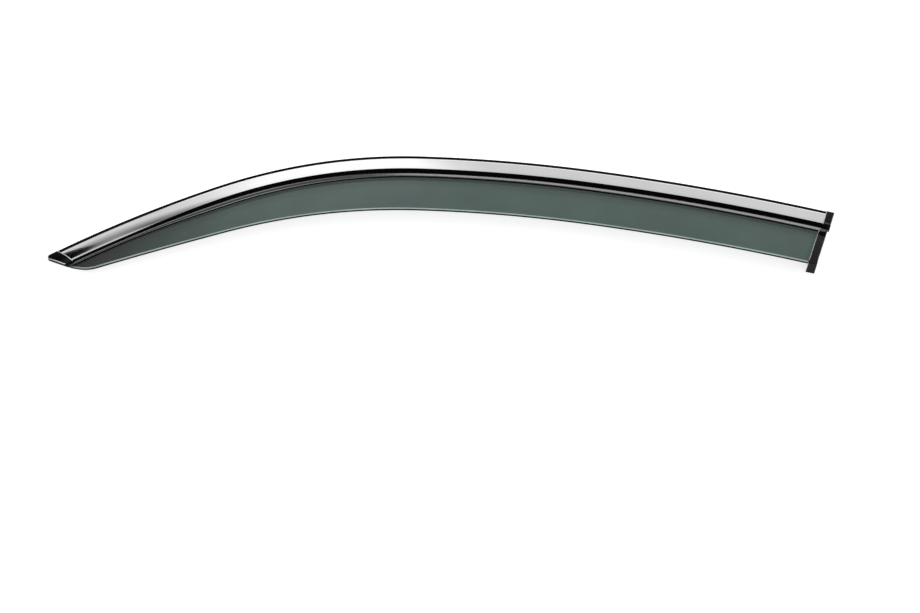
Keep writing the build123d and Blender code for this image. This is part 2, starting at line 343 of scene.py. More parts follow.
class NoseTaper:
    """How the section changes towards the nose: a lower shoulder, a shorter lip and a narrower ledge."""

    def __init__(self, shield, cap):
        self.s = shield
        self.side = cap.side
        self.ledge = shield.back + shield.wall

    def amount(self, run):
        """How far the change has come at a distance along: 0 behind it, 1 at the nose."""
        part = float(np.clip((self.s.taper_start - run) / self.s.taper_run, 0, 1))
        return part * part * (3 - 2 * part)

    def shoulder(self, run, n, z):
        """Where a point of flange, shoulder, lip, strip or cap comes to lie, across and in height."""
        s, part = self.s, self.amount(run)
        pull = (n / s.fold_across) ** 2 if n <= s.fold_across else (self.side - n) / (self.side - s.fold_across)
        lower = max(0.0, z - self.ledge) * s.taper_drop * part
        return n + s.taper_fold * part * max(0.0, pull), z - lower

    def panel(self, run, n, end):
        """Where a point of ledge or panel comes to lie across, with the lower edge kept."""
        s = self.s
        near = (n - self.side) / (s.ledge_end - self.side)
        far = (end - n) / max(end - s.ledge_end, TAPER_ROOM)
        return n - s.taper_ledge * self.amount(run) * float(np.clip(min(near, far), 0, 1))


# Meshes


# SHEEN faces carry the painted highlight lines along the ledge, PALE faces the painted highlight beside the lower rim.
PLAIN, DARK, PALE, MATT, SHEEN = range(5)
ZONES = {"Dark Material": DARK, "Pale Material": PALE, "Matt Material": MATT, "Sheen Material": SHEEN}


def placed(name, data):
    """A new object in the scene."""
    made = bpy.data.objects.new(name, data)
    bpy.context.scene.collection.objects.link(made)
    return made


def sheet_object(name, outer, inner, zones=None, sides=(PLAIN, PLAIN)):
    """Closed wall from two grids of points, stations by points across, in along, across and height."""
    outer, inner = np.array(outer), np.array(inner)
    rows, columns = outer.shape[:2]
    points = np.concatenate([outer.reshape(-1, 3), inner.reshape(-1, 3)])
    top, low = np.arange(len(points)).reshape(2, rows, columns).tolist()
    faces, marked = [], []
    for i in range(rows - 1):
        for j in range(columns - 1):
            faces.append((top[i][j], top[i][j + 1], top[i + 1][j + 1], top[i + 1][j]))
            marked.append(zones[j] if zones else PLAIN)
            faces.append((low[i][j], low[i + 1][j], low[i + 1][j + 1], low[i][j + 1]))
            marked.append(PLAIN)
        faces.append((low[i][0], top[i][0], top[i + 1][0], low[i + 1][0]))
        faces.append((top[i][-1], low[i][-1], low[i + 1][-1], top[i + 1][-1]))
        marked += sides
    for j in range(columns - 1):
        faces.append((low[0][j], low[0][j + 1], top[0][j + 1], top[0][j]))
        faces.append((top[-1][j], top[-1][j + 1], low[-1][j + 1], low[-1][j]))
        marked += [PLAIN, PLAIN]
    mesh = bpy.data.meshes.new(name)
    mesh.from_pydata([tuple(p) for p in points], [], faces)
    mesh.attributes.new("zone", "INT", "FACE").data.foreach_set("value", marked)
    return placed(name, mesh)


def add_node(tree, kind, *values, **settings):
    """Add a node, set it up, and fill its inputs in order with values or links."""
    made = tree.nodes.new(kind)
    for name, value in settings.items():
        setattr(made, name, value)
    for socket, value in zip(made.inputs, values):
        if isinstance(value, bpy.types.NodeSocket):
            tree.links.new(value, socket)
        elif value is not None:
            socket.default_value = value
    return made


def calc(tree, operation, *values):
    return add_node(tree, "ShaderNodeMath", *values, operation=operation).outputs[0]


ROOF_INPUTS = ("Start", "Heading", *(name + part for name in ARCS for part in (" Radius", " Turn")))
SMOOTH_LIMIT = 28 * DEG
MERGE_DISTANCE = 0.004 * MM


def follow_tree():
    """Geometry Nodes that bend a straight piece onto the four arcs of the roof edge."""
    tree = bpy.data.node_groups.new("Follow the roof edge", "GeometryNodeTree")
    tree.is_modifier = True
    face = tree.interface
    face.new_socket(name="Geometry", in_out="INPUT", socket_type="NodeSocketGeometry")
    for name in ROOF_INPUTS:
        kind = "NodeSocketVector" if name == "Start" else "NodeSocketFloat"
        face.new_socket(name=name, in_out="INPUT", socket_type=kind)
    for name in ("Material", *ZONES):
        face.new_socket(name=name, in_out="INPUT", socket_type="NodeSocketMaterial")
    face.new_socket(name="Geometry", in_out="OUTPUT", socket_type="NodeSocketGeometry")
    given = tree.nodes.new("NodeGroupInput").outputs

    def put(kind, *values, **setup):
        return add_node(tree, kind, *values, **setup).outputs[0]

    def do(operation, *values):
        return calc(tree, operation, *values)

    run, side, height = add_node(tree, "ShaderNodeSeparateXYZ", put("GeometryNodeInputPosition")).outputs
    heading = turned = given["Heading"]
    begin = x = y = 0.0
    for name in ARCS:
        radius, turn = given[name + " Radius"], given[name + " Turn"]
        part = do("DIVIDE", do("SUBTRACT", run, begin), radius)
        if name != ARCS[0]:
            part = do("MAXIMUM", part, 0.0)
        if name != ARCS[-1]:
            part = do("MINIMUM", part, turn)
        here = do("SUBTRACT", heading, part)
        x = do("MULTIPLY_ADD", radius, do("SUBTRACT", do("SINE", heading), do("SINE", here)), x)
        y = do("MULTIPLY_ADD", radius, do("SUBTRACT", do("COSINE", here), do("COSINE", heading)), y)
        turned = do("SUBTRACT", turned, part)
        heading = do("SUBTRACT", heading, turn)
        begin = do("MULTIPLY_ADD", radius, turn, begin)
    x = do("MULTIPLY_ADD", side, do("SINE", turned), x)
    y = do("SUBTRACT", y, do("MULTIPLY", side, do("COSINE", turned)))
    spot = put("ShaderNodeVectorMath", put("ShaderNodeCombineXYZ", x, y, height), given["Start"], operation="ADD")
    bent = put("GeometryNodeSetPosition", given["Geometry"], None, spot)
    merged = put("GeometryNodeMergeByDistance", bent, None, MERGE_DISTANCE)
    smooth = put("GeometryNodeSetShadeSmooth", merged, None, True, domain="FACE")
    bend = put("GeometryNodeInputMeshEdgeAngle")
    crisp = put("FunctionNodeCompare", bend, SMOOTH_LIMIT, data_type="FLOAT", operation="GREATER_THAN")
    creased = put("GeometryNodeSetShadeSmooth", smooth, crisp, False, domain="EDGE")
    real = put("GeometryNodeRealizeInstances", creased)
    dressed = put("GeometryNodeSetMaterial", real, None, given["Material"])
    zone = put("GeometryNodeInputNamedAttribute", "zone", data_type="INT")
    for name, value in ZONES.items():
        chosen = put("FunctionNodeCompare", None, None, zone, value, data_type="INT", operation="EQUAL")
        dressed = put("GeometryNodeSetMaterial", dressed, chosen, given[name])
    add_node(tree, "NodeGroupOutput", dressed)
    return tree


def follow_roof_edge(piece, material, **zone_materials):
    """Bend a straight piece onto the roof edge and keep the result as its plain mesh."""
    settings = bpy.context.scene.deflector_roof
    tree = bpy.data.node_groups.get("Follow the roof edge") or follow_tree()
    modifier = piece.modifiers.new("Follow the roof edge", "NODES")
    modifier.node_group = tree
    sockets = {s.name: s.identifier for s in tree.interface.items_tree if s.in_out == "INPUT"}
    for name in ROOF_INPUTS:
        value = getattr(settings, name.lower().replace(" ", "_"))
        modifier[sockets[name]] = tuple(value) if name == "Start" else float(value)
    modifier[sockets["Material"]] = material
    for name in ZONES:
        modifier[sockets[name]] = zone_materials.get(name.split()[0].lower(), material)
    keep_result(piece)


def keep_result(piece):
    """Turn a piece with modifiers into a plain mesh."""
    bpy.context.view_layer.update()
    shown = piece.evaluated_get(bpy.context.evaluated_depsgraph_get())
    mesh = bpy.data.meshes.new_from_object(shown)
    piece.modifiers.clear()
    straight = piece.data
    piece.data = mesh
    bpy.data.meshes.remove(straight)
    mesh.name = piece.name


def hand_over(piece, node):
    """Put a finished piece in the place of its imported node."""
    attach(piece, BODY)
    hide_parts(node)


# Materials


PATTERN_SPAN = (0.3, 0.7)
# Spans of the painted shade on the acrylic, in height beside the ledge and in length towards the nose, and of the fade
# of the painted ledge highlight
NOSE_SHADE_SPAN = (-460 * MM, -260 * MM)
TOP_SHADE_SPAN = (4 * MM, 15 * MM)
SHEEN_FADE = (-60 * MM, -220 * MM)


class Finish:
    """A material with its Principled shader and short ways to add texture nodes."""

    def __init__(self, name, tint, **sockets):
        self.material = bpy.data.materials.new(name)
        self.material.use_nodes = True
        self.tree = self.material.node_tree
        self.shader = self.tree.nodes["Principled BSDF"]
        self.tint = tuple(tint)
        self.shader.inputs["Base Color"].default_value = (*tint, 1.0)
        for socket, value in sockets.items():
            self.shader.inputs[socket.replace("_", " ")].default_value = value
        self.coords = self.tree.nodes.new("ShaderNodeTexCoord").outputs["Object"]

    def noise(self, scale, detail=3.0, stretch=(1.0, 1.0, 1.0)):
        """A cloudy pattern."""
        spread_out = add_node(self.tree, "ShaderNodeMapping", self.coords)
        spread_out.inputs["Scale"].default_value = stretch
        made = add_node(self.tree, "ShaderNodeTexNoise", spread_out.outputs[0])
        made.inputs["Scale"].default_value = scale
        made.inputs["Detail"].default_value = detail
        return made.outputs["Fac"]

    def feed(self, value, socket):
        self.tree.links.new(value, self.shader.inputs[socket])
        return self

    def polish(self, low, high, **pattern):
        """Run the roughness from low to high by a pattern."""
        ramp = add_node(self.tree, "ShaderNodeMapRange", self.noise(**pattern), *PATTERN_SPAN, low, high)
        return self.feed(ramp.outputs[0], "Roughness")

    def tones(self, low, high, **pattern):
        """Run the colour from a darker to a lighter share of the tint by a pattern."""
        ramp = add_node(self.tree, "ShaderNodeValToRGB", self.noise(**pattern))
        for stop, place, part in zip(ramp.color_ramp.elements, PATTERN_SPAN, (low, high)):
            stop.position = place
            stop.color = (*(min(1.0, c * part) for c in self.tint), 1.0)
        return self.feed(ramp.outputs[0], "Base Color")

    def deepen(self, tint, start, end, axis="X"):
        """Run the colour from a darker tint to its own tones, along the length or with the height; this carries
        painted shade and fades a painted highlight.
        """
        run = add_node(self.tree, "ShaderNodeSeparateXYZ", self.coords).outputs[axis]
        part = add_node(self.tree, "ShaderNodeMapRange", run, start, end, 0.0, 1.0).outputs[0]
        mix = add_node(self.tree, "ShaderNodeMix", part, data_type="RGBA")
        mix.inputs[6].default_value = (*tint, 1.0)
        self.tree.links.new(self.shader.inputs["Base Color"].links[0].from_socket, mix.inputs[7])
        return self.feed(mix.outputs[2], "Base Color")

    def bump(self, strength, depth, **pattern):
        """Raise the surface a little by a pattern."""
        made = add_node(self.tree, "ShaderNodeBump")
        made.inputs["Strength"].default_value = strength
        made.inputs["Distance"].default_value = depth
        self.tree.links.new(self.noise(**pattern), made.inputs["Height"])
        return self.feed(made.outputs[0], "Normal")


def smoked_acrylic(settings):
    """Tinted acrylic: clear gloss with faint clouding and moulding ripple, with painted shade that makes it darker and
    greyer beside the ledge and darker towards the nose.
    """
    made = Finish("tinted_acrylic", settings.tint, Alpha=settings.body, Specular_IOR_Level=0.2)
    made.tones(0.9, 1.1, scale=18.0, detail=4.0)
    # Painted shade: darker and greyer beside the ledge, darker towards the nose.
    made.deepen(settings.top_tint, *TOP_SHADE_SPAN, axis="Z").deepen(settings.nose_tint, *NOSE_SHADE_SPAN)
    return made.polish(0.045, 0.09, scale=60.0).bump(0.01, 0.2 * MM, scale=40.0, detail=2.0).material


def dark_back(settings):
    """Shoulder and ledge of the moulding, given an opaque near-black in place of the see-through acrylic."""
    return Finish("dark_back", settings.dark_tint).tones(0.7, 1.4, scale=40.0).polish(0.09, 0.15, scale=500.0).material


def ledge_sheen(settings):
    """Painted highlight: light lines along the bends at both sides of the ledge, which fade over the crown."""
    made = Finish("ledge_sheen", settings.sheen_tint)
    made.tones(0.95, 1.05, scale=60.0).deepen(settings.dark_tint, *SHEEN_FADE)
    return made.polish(0.12, 0.2, scale=300.0, detail=2.0).material


def pale_rim(settings):
    """Painted highlight: a line beside the lower edge, paler than the panel, standing in for the light the edge
    carries.
    """
    made = Finish("pale_rim", settings.rim_tint)
    return made.tones(0.8, 1.15, scale=25.0, detail=4.0).polish(0.16, 0.26, scale=300.0, detail=2.0).material


def matt_edge(name, tint):
    """Black edge that throws hardly any light back."""
    made = Finish(name, tint, Specular_IOR_Level=0.06)
    return made.tones(0.7, 1.4, scale=700.0).polish(0.45, 0.65, scale=700.0).material


def bright_metal(settings):
    """Polished strip with faint drawing lines along it."""
    made = Finish("polished_strip", settings.metal, Metallic=1.0)
    return made.tones(0.96, 1.02, scale=30.0).polish(0.035, 0.055, scale=700.0, stretch=(0.06, 1.0, 1.0)).material


def black_plastic(settings):
    """Gloss black moulding with a little moulding texture."""
    made = Finish("gloss_black", settings.plastic, Specular_IOR_Level=0.16)
    made.tones(0.75, 1.4, scale=60.0).polish(0.08, 0.15, scale=350.0)
    return made.bump(0.02, 0.1 * MM, scale=350.0).material


def bevel_sheen(settings):
    """Painted highlight: a pale colour on the bevels of the black caps, standing in for the light their edges catch.
    """
    made = Finish("bevel_sheen", settings.bevel)
    return made.tones(0.6, 1.3, scale=90.0).polish(0.18, 0.28, scale=300.0, detail=2.0).material


def foam(settings):
    """Closed-cell foam."""
    made = Finish("closed_cell_foam", settings.foam, Roughness=0.9)
    cells = {"scale": 1800.0, "detail": 2.0}
    return made.tones(0.5, 1.7, **cells).bump(0.5, 0.2 * MM, **cells).material


def film(settings):
    """Peel-off film with faint wrinkles."""
    made = Finish("peel_film", settings.film_tint, Roughness=0.3)
    wrinkles = {"scale": 120.0, "detail": 4.0, "stretch": (0.5, 2.0, 1.0)}
    return made.tones(0.8, 1.15, **wrinkles).bump(0.2, 0.1 * MM, **wrinkles).material


# Pieces


# Steps across and along the pieces
FLANGE_STEPS, PANEL_STEPS, RIM_STEPS, LIP_STEPS, ROLL_STEPS = 4, 22, 5, 8, 6
NOSE_STEPS, REAR_STEPS, BEND_STEPS, TAPE_COLUMNS = 12, 10, 9, 4
CUT_STEPS, TIP_STEPS, TANGENT_STEPS, NARROW_STEPS = 40, 40, 60, 120
# Ledge zones: two painted highlight lines (SHEEN) on its bends, with near-black gloss between and after them.
LEDGE_ZONES = [SHEEN] * 2 + [DARK] * 4 + [SHEEN] * 2 + [DARK] * 5

# Distances that place the points of the shield
FLANGE_ROUND = 0.8 * MM
TIP_SLIVER = 0.3 * MM
TIP_ROOM = 7.0 * MM
RIM_ROOM = 3.0 * MM
JOIN_ROOM = 1.0 * MM
BEND_BEFORE, BEND_AFTER = 1.6 * MM, 2.2 * MM
SLOPE_STEP = 0.5 * MM
REAR_LEAD = 45.0 * MM
FINE_NOSE = 95.0 * MM
FINE_SPACING = 2.0 * MM

# Shares of the room at a narrow lower edge, of its rounding below and of the strip's roll
ROUND_ROOM, BAND_ROOM = 0.2, 0.4
UNDER_ROUND = 0.7
ROLL_CLEAR = 1.3

# Back of the shield: flat land, hollow under the shoulder, then the ledge
LAND_END = 11.0 * MM
HOLLOW_START = (12.34 * MM, 4.81 * MM)
HOLLOW_CORNER = (19.71 * MM, 6.55 * MM)
HOLLOW_FOOT = 21.82 * MM
HOLLOW_FLATTER = 3
BACK_STEP = 0.4 * MM
BACK_SPACING = 0.75

# Faces of the caps; the bevels carry the painted highlight
CAP_TOP, CAP_BEVEL, CAP_SIDE = range(3)
BEVEL_UP = (0.45, 0.82)
LEG_END = 4.0 * MM
LEG_CORNER = -0.5


def lower_outline(edge, s):
    """Distances along and across of the lower outline, from the nose cap to where it runs parallel."""
    _, roof_centre, roof_radius, roof_heading, _ = edge.legs[2]
    heading = edge.settings.heading
    front = along(heading - pi / 2 + s.nose_cut)
    first = edge.point(0.0, s.nose_cut_across)
    tip = first + front * s.nose_reach
    centre = roof_centre + across(roof_heading) * (s.narrow_radius - roof_radius + s.depth)
    sight = tip - centre
    tip_turn = atan2(sight[1], sight[0]) - acos(s.narrow_radius / hypot(*sight))
    touch = centre + s.narrow_radius * along(tip_turn)
    back = (touch - tip) / np.linalg.norm(touch - tip)
    half = acos(float(np.dot(-front, back))) / 2
    reach = s.tip_radius / tan(half)
    middle = tip + (back - front) / np.linalg.norm(back - front) * s.tip_radius / sin(half)
    near, far = tip - front * reach, tip + back * reach
    turns = [atan2(y, x) for x, y in (near - middle, far - middle)]
    spots = spread(first, near, CUT_STEPS)[1:-1]
    spots += [middle + s.tip_radius * along(t) for t in np.linspace(*turns, TIP_STEPS)]
    spots += spread(far, touch, TANGENT_STEPS)[1:]
    top = roof_heading + pi / 2
    spots += [centre + s.narrow_radius * along(t) for t in np.linspace(tip_turn, top, NARROW_STEPS)[1:]]
    measured = np.array([edge.measure(p) for p in spots])
    order = np.argsort(measured[:, 0])
    return measured[order, 0], measured[order, 1]


class DEFLECTOR_OT_shield(bpy.types.Operator):
    """Build the smoked shield: one wall from the flange over shoulder and ledge to the lower edge"""

    bl_idname = "deflector.shield"
    bl_label = "Shield"

    def execute(self, context):
        scene = context.scene
        s, cap = scene.deflector_shield, scene.deflector_cap
        edge = RoofEdge(scene.deflector_roof)
        section = ShieldSection(s)
        outline = lower_outline(edge, s)
        outer, inner = self.rows(s, cap, edge, section, outline)
        flange, foot = FLANGE_STEPS + 2, len(self.fixed_outer(s)) - 1
        # Zones across: matt flange, near-black shoulder and ledge with painted highlight lines, clear panel, a painted
        # highlight beside the rim, matt rim.
        zones = [MATT] * flange + [DARK] * (foot - flange) + LEDGE_ZONES
        zones += [PLAIN] * (len(outer[0]) - len(zones) - RIM_STEPS - 2) + [PALE] + [MATT] * RIM_STEPS
        piece = sheet_object("smoked_shield", outer, inner, zones, (MATT, MATT))
        follow_roof_edge(
            piece,
            smoked_acrylic(s),
            dark=dark_back(s),
            pale=pale_rim(s),
            matt=matt_edge("flange_and_rim", s.dark_tint),
            sheen=ledge_sheen(s),
        )
        hand_over(piece, "shield")
        return {"FINISHED"}

    def fixed_outer(self, s):
        """Outer section points from the flange's edge to the foot of the lip."""
        ledge = s.back + s.wall
        flange = rounded((0, s.back), (0, ledge), (s.shoulder, ledge), FLANGE_ROUND, FLANGE_STEPS)
        return np.array(flange + shoulder_outer(s))

    def fixed_inner(self, s):
        """Inner section points under the same stretch: land, hollow and the back of the lip."""
        land = spread((0, s.back), (s.shoulder, s.back), FLANGE_STEPS)
        rise = [np.array((LAND_END, s.back)), np.array(HOLLOW_START)]
        roof = bowed(HOLLOW_START, HOLLOW_CORNER, s.crown / HOLLOW_FLATTER, SHOULDER_STEPS)[1:]
        lip = spread(HOLLOW_CORNER, (HOLLOW_FOOT, s.back), FOLD_STEPS + 2)[1:]
        return np.array(land + rise + roof + lip)

    def rows(self, s, cap, edge, section, outline):
        """Outer and inner grid of the shield in along, across and height."""
        fixed_out, fixed_in = self.fixed_outer(s), self.fixed_inner(s)
        if len(fixed_out) != len(fixed_in):
            raise RuntimeError(f"section points differ: {len(fixed_out)} outer, {len(fixed_in)} inner")
        taper = NoseTaper(s, cap)
        tip_side = cap.side + TIP_SLIVER
        tip_start = float(np.interp(tip_side, outline[1], outline[0]))
        join_end = edge.join(cap.side) + JOIN_ROOM
        ledge_ns = [cap.side, tip_side, cap.step, cap.step + TIP_SLIVER]
        bend_ns = list(np.linspace(s.ledge_end - BEND_BEFORE, s.ledge_end + BEND_AFTER, BEND_STEPS))
        keep = bend_ns[-1]
        panel_ns = list(np.linspace(keep, s.depth - RIM_ROOM, PANEL_STEPS)[1:])
        free_ns = np.array(ledge_ns + bend_ns + panel_ns)

        def fitted(free, end):
            """Move the panel's points so that they reach to the lower edge at this station."""
            if end >= s.depth:
                return free
            room = max(end, keep + TIP_ROOM)
            scale = (room - RIM_ROOM - keep) / (s.depth - RIM_ROOM - keep)
            moved = np.where(free > keep, keep + (free - keep) * scale, free)
            if end < room:
                shrink = max(0.0, end - tip_side) / (room - tip_side)
                moved = np.where(moved > tip_side, tip_side + (moved - tip_side) * shrink, moved)
            return moved

        def station(along_of):
            """One row of points: a function gives the distance along for each distance across."""
            outer, inner = [], []
            for p, q in zip(fixed_out, fixed_in):
                at = along_of(p[0])
                outer.append((at, *taper.shoulder(at, *p)))
                inner.append((at, *taper.shoulder(at, *q)))
            at = along_of(s.depth)
            end = float(np.interp(at, outline[0], outline[1], right=s.depth))
            for nominal, n in zip(free_ns, fitted(free_ns, end)):
                run = along_of(nominal)
                outer.append((run, taper.panel(run, n, end), section.outer(n)))
                back = HOLLOW_FOOT + (n - cap.side + BACK_STEP) * BACK_SPACING if n < section.foot else n
                moved = taper.panel(run, back, end) if back > cap.side else taper.shoulder(run, back, 0.0)[0]
                inner.append((run, moved, section.inner(back)))
            room = max(0.0, end - tip_side)
            reach, band = min(s.rim_round, room * ROUND_ROOM), min(s.rim_band, room * BAND_ROOM)
            slope = (section.outer(end) - section.outer(end - SLOPE_STEP)) / SLOPE_STEP
            rims = ((outer, section.outer, -1, reach), (inner, section.inner, 1, reach * UNDER_ROUND))
            for row, height, way, cut in rims:
                z = height(end)
                row.append((at, end - band, height(end - band)))
                row += [(at, *p) for p in rounded((end - 1, z - slope), (end, z), (end, z + way), cut, RIM_STEPS)]
            return outer, inner

        def nose_start(n):
            return edge.join(n) if n < tip_side else tip_start

        def rear_end(n):
            return edge.rear(cap.block if n <= cap.step else cap.leg, n)

        rear_lead = edge.length - REAR_LEAD
        grids = []
        for t in np.linspace(0, 1, NOSE_STEPS)[:-1]:
            grids.append(station(lambda n, t=t: nose_start(n) + (join_end - nose_start(n)) * t))
        fine = np.arange(join_end, FINE_NOSE, FINE_SPACING)
        steps = int((rear_lead - FINE_NOSE) / s.spacing)
        for at in [*fine, *np.linspace(FINE_NOSE, rear_lead, steps)]:
            grids.append(station(lambda n, at=at: at))
        for t in np.linspace(0, 1, REAR_STEPS)[1:]:
            grids.append(station(lambda n, t=t: rear_lead + (rear_end(n) - rear_lead) * t))
        return [g[0] for g in grids], [g[1] for g in grids]


class DEFLECTOR_OT_strip(bpy.types.Operator):
    """Build the bright strip over the shoulder, with its folded front lip"""

    bl_idname = "deflector.strip"
    bl_label = "Trim strip"

    def execute(self, context):
        scene = context.scene
        s, strip, cap = scene.deflector_shield, scene.deflector_strip, scene.deflector_cap
        edge = RoofEdge(scene.deflector_roof)
        low = s.back + s.wall + strip.lift
        under, over = shoulder_outer(s), shoulder_outer(s, strip.sheet)
        for path in (under, over):
            lip = path[-1] - path[-2]
            path[-1] = path[-1] + lip * (low - path[-1][1]) / lip[1]
        under, over = self.trimmed(under, strip), self.trimmed(over, strip)
        for p in over[:ROLL_STEPS]:
            p[1] -= strip.roll_drop * ((strip.start + strip.roll - p[0]) / strip.roll) ** 2
        steps = int(edge.length / strip.spacing)
        taper = NoseTaper(s, cap)
        outer, inner = [], []
        for t in np.linspace(0, 1, steps):
            for path, rows in ((over, outer), (under, inner)):
                row = []
                for n, z in path:
                    first = edge.join(n) + strip.end_gap / cos(edge.settings.join_lean)
                    last = edge.rear(cap.block, n) - strip.end_gap
                    run = first + (last - first) * t
                    row.append((run, *taper.shoulder(run, n, z)))
                rows.append(row)
        # The folded lip is given matt black, not the bright metal.
        zones = [PLAIN] * (len(over) - LIP_STEPS) + [MATT] * LIP_STEPS
        piece = sheet_object("bright_strip", outer, inner, zones, (PLAIN, MATT))
        follow_roof_edge(piece, bright_metal(strip), matt=matt_edge("folded_lip", strip.lip_tint))
        hand_over(piece, "trim_strip")
        return {"FINISHED"}

    def trimmed(self, path, strip):
        """The path from the strip's upper edge on, with close points over the roll."""
        points = np.array(path)
        turn = int(np.argmax(points[:, 1]))
        first = np.linspace(strip.start, strip.start + strip.roll, ROLL_STEPS)
        rolled = [np.array([n, np.interp(n, points[:turn, 0], points[:turn, 1])]) for n in first]
        return rolled + [p for p in path if p[0] > strip.start + strip.roll * ROLL_CLEAR]


class DEFLECTOR_OT_caps(bpy.types.Operator):
    """Dress the nose cap and the rear cap, with their bevels shaded round"""

    bl_idname = "deflector.caps"
    bl_label = "End caps"

    def execute(self, context):
        settings = context.scene.deflector_cap
        materials = black_plastic(settings), bevel_sheen(settings), matt_edge("cap_side", settings.plastic)
        for node in ("nose_cap", "rear_cap"):
            hand_over(self.dress(node, context.scene, materials), node)
        return {"FINISHED"}

    def dress(self, node, scene, materials):
        """A merged copy of a cap's mesh that follows the section, with weighted normals."""
        edge = RoofEdge(scene.deflector_roof)
        taper = NoseTaper(scene.deflector_shield, scene.deflector_cap)
        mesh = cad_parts[node].data.copy()
        shape = bmesh.new()
        shape.from_mesh(mesh)
        bmesh.ops.remove_doubles(shape, verts=shape.verts, dist=MERGE_DISTANCE)
        for face in shape.faces:
            _, n = edge.measure(np.array(face.calc_center_median().xy))
            face.smooth = True
            face.material_index = self.finish_of(face.normal, n > scene.deflector_shield.depth - LEG_END)
        for line in shape.edges:
            line.smooth = line.is_manifold and line.calc_face_angle() < scene.deflector_cap.smooth
        for corner in shape.verts:
            run, n = edge.measure(np.array(corner.co.xy))
            n, corner.co.z = taper.shoulder(run, n, corner.co.z)
            corner.co.xy = edge.point(run, n)
        mesh.materials.clear()
        for material in materials:
            mesh.materials.append(material)
        shape.to_mesh(mesh)
        shape.free()
        piece = placed("black_" + node, mesh)
        weigh = piece.modifiers.new("Flat faces stay flat", "WEIGHTED_NORMAL")
        weigh.keep_sharp = True
        keep_result(piece)
        return piece

    def finish_of(self, normal, at_leg_end):
        """Gloss top, painted highlight on the bevels, or matt side; at the leg's end only the upright near corner gets
        the painted highlight.
        """
        side, bevel = abs(normal.z) < BEVEL_UP[0], normal.z < BEVEL_UP[1]
        if at_leg_end:
            bevel = side and normal.x < LEG_CORNER and normal.y < 0
            side = side and not bevel
        if side:
            return CAP_SIDE
        return CAP_BEVEL if bevel else CAP_TOP


class DEFLECTOR_OT_tape(bpy.types.Operator):
    """Build the three lengths of foam tape and the film on each"""

    bl_idname = "deflector.tape"
    bl_label = "Tape and film"

    def execute(self, context):
        scene = context.scene
        tape, s, cap = scene.deflector_tape, scene.deflector_shield, scene.deflector_cap
        edge = RoofEdge(scene.deflector_roof)
        crown, roof = edge.legs[1][0], edge.legs[2][0]
        half = tape.gap / 2
        spans = {
            "front": (edge.settings.join_along + tape.end, crown - half),
            "middle": (crown + half, roof - half),
            "rear": (roof + half, edge.length - cap.block - tape.end),
        }
        foam_finish, film_finish = foam(tape), film(tape)
        for name, (first, last) in spans.items():
            self.lay("foam_" + name, first, last, tape.film, s.back, foam_finish, "tape_" + name, "foam_tape")
            self.lay("film_" + name, first, last, 0.0, tape.film, film_finish, "liner_" + name, "release_film")
        return {"FINISHED"}

    def lay(self, name, first, last, low, high, material, node, slot):
        """One length of tape or film along the flange."""
        tape = bpy.context.scene.deflector_tape
        sides = np.linspace(tape.inset, tape.inset + tape.width, TAPE_COLUMNS)
        runs = np.linspace(first, last, int((last - first) / tape.spacing))
        outer, inner = ([[(run, n, z) for n in sides] for run in runs] for z in (high, low))
        piece = sheet_object(name, outer, inner)
        follow_roof_edge(piece, material)
        hand_over(piece, node)


# Stage


# Floor, lens and softbox
FLOOR_REACH = 6.0
FLOOR_DROP = 0.2 * MM
FLOOR_GLOW = 0.7
MIRRORED_GLOW = 0.56
SENSOR_WIDTH = 36.0
BOX_SIZE = (1.1, 0.7)
BOX_PLACE = (0.42, 0.93, 2.0)
BOX_TILT = -25 * DEG

# Dark card that the strip mirrors at the nose
CARD_SLOPE = 4.8
CARD_CORNER = (-23.8 * DEG, 38.2 * DEG)
CARD_START = CARD_CORNER[1] - CARD_SLOPE * CARD_CORNER[0]
CARD_EDGE = 0.5 * DEG
CARD_LIFT, CARD_LIFT_SOFT = (5 * DEG, 52.4 * DEG), 0.3 * DEG
CARD_SPAN, CARD_SPAN_SOFT = (-50 * DEG, -21.72 * DEG), 0.12 * DEG

# Dusk high on the wall, and the wall's brightness by compass angle
DUSK_RISE, DUSK_FALL = (36 * DEG, 48 * DEG), (52 * DEG, 53.6 * DEG)
DUSK_SPAN = (-23 * DEG, -14 * DEG)
DUSK_DEPTH = (0.8, 0.1)
WALL_STOPS = (
    (-180, 0.9), (-70, 0.9), (-24, 1.05), (-22, 1.0), (-19.5, 1.04), (-15, 1.4), (-11.5, 1.65),
    (-0.5, 1.7), (2, 1.0), (40, 0.98), (120, 0.9),
)


